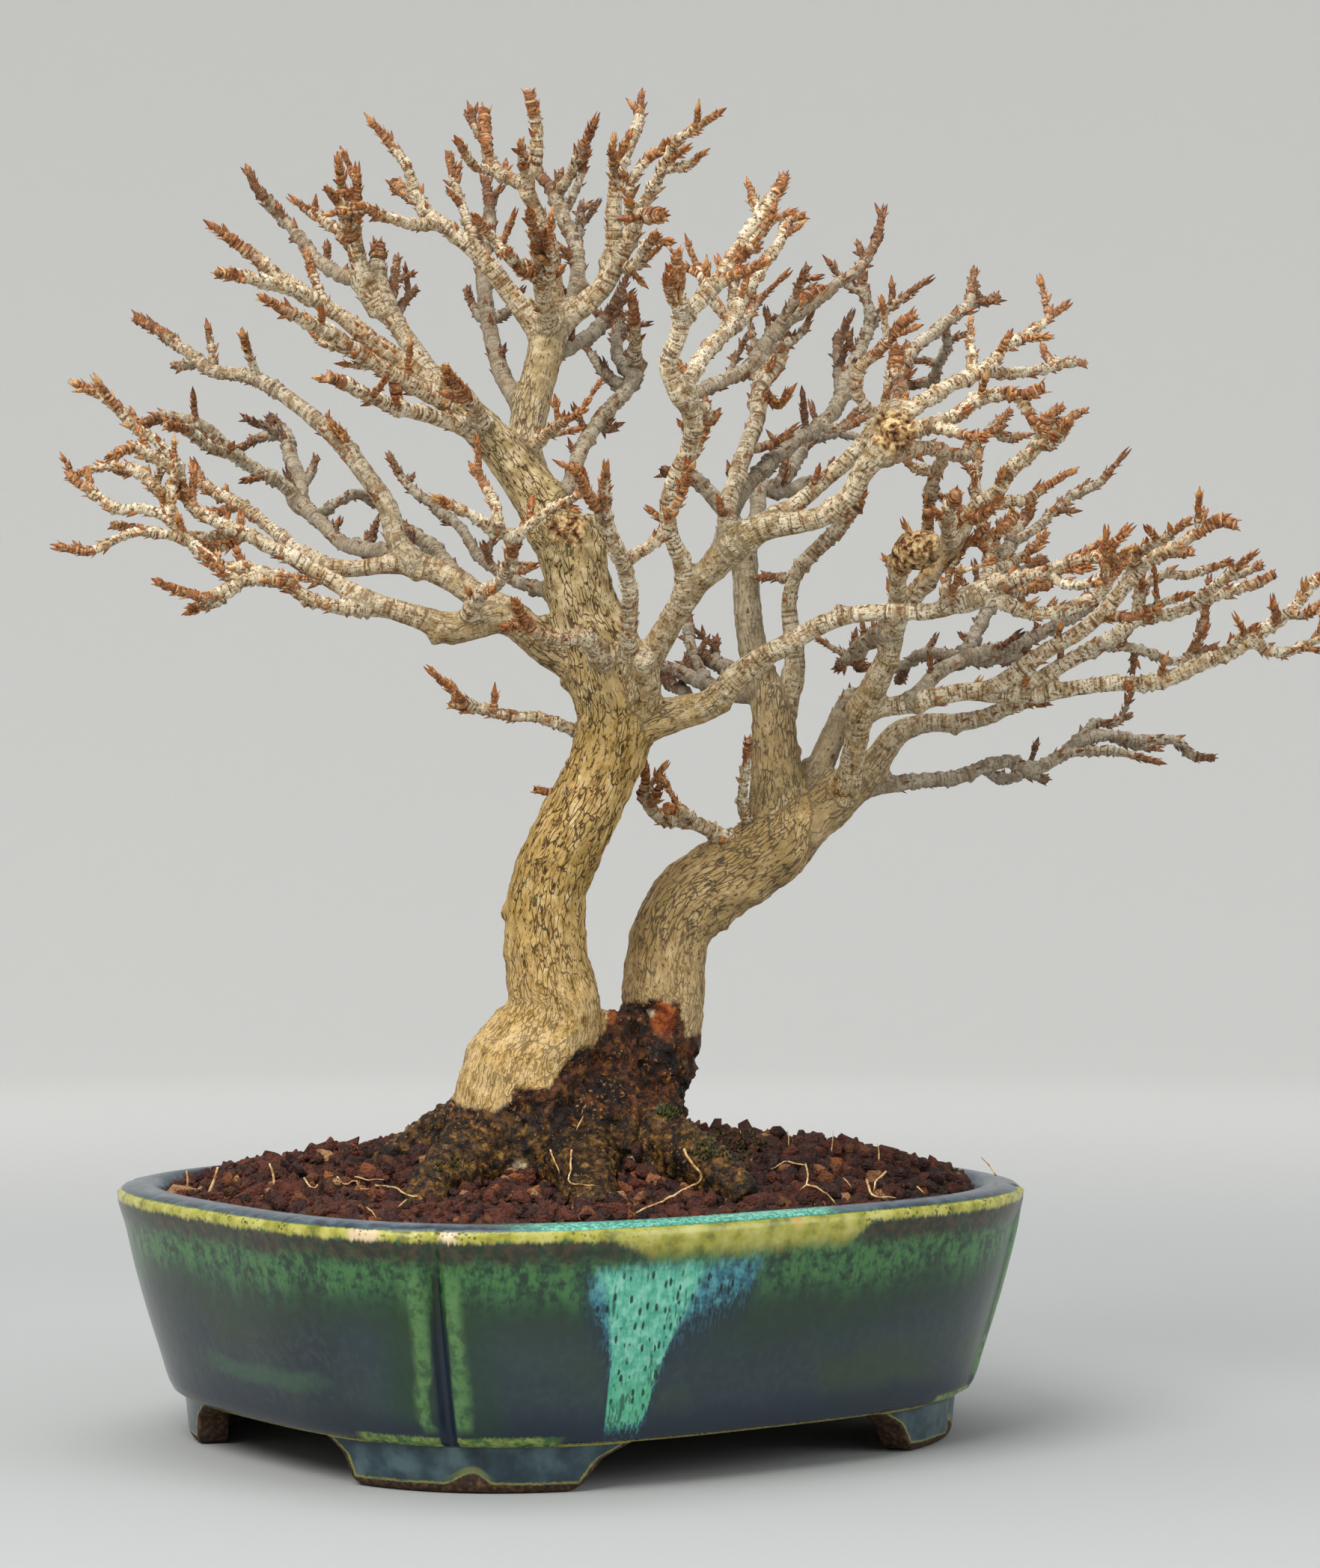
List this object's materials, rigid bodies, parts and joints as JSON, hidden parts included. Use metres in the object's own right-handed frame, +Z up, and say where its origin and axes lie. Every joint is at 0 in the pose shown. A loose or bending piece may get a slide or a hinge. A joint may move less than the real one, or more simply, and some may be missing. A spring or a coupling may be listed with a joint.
{
  "type": "trident maple bonsai in a glazed pot",
  "caption": "Bare twin-trunk trident maple bonsai with fine ramified branches, rooted in grit in a footed, glazed ceramic pot with rounded corners.",
  "frame": {"origin": "on the ground, under the middle of the whole part's outline seen from above", "axes": "+Z up, +X along the pot's long side to the right, +Y along its short side to the back"},
  "size_m": [0.3168, 0.2708, 0.3765],
  "materials": {
    "glaze": "glossy running glaze, dark slate teal with green, lime and turquoise runs",
    "grit": "porous red-brown grains",
    "bark": "flaking tan bark, brown ringed twigs",
    "net": "matte mesh",
    "wire": "bronze-coloured soft wire"
  },
  "bodies": {
    "root": {"pot": "glaze", "soil": "grit", "tree": "bark", "drain_screen_left": "net", "drain_screen_right": "net", "screen_clip_left": "wire", "screen_clip_right": "wire"}
  },
  "joints": []
}
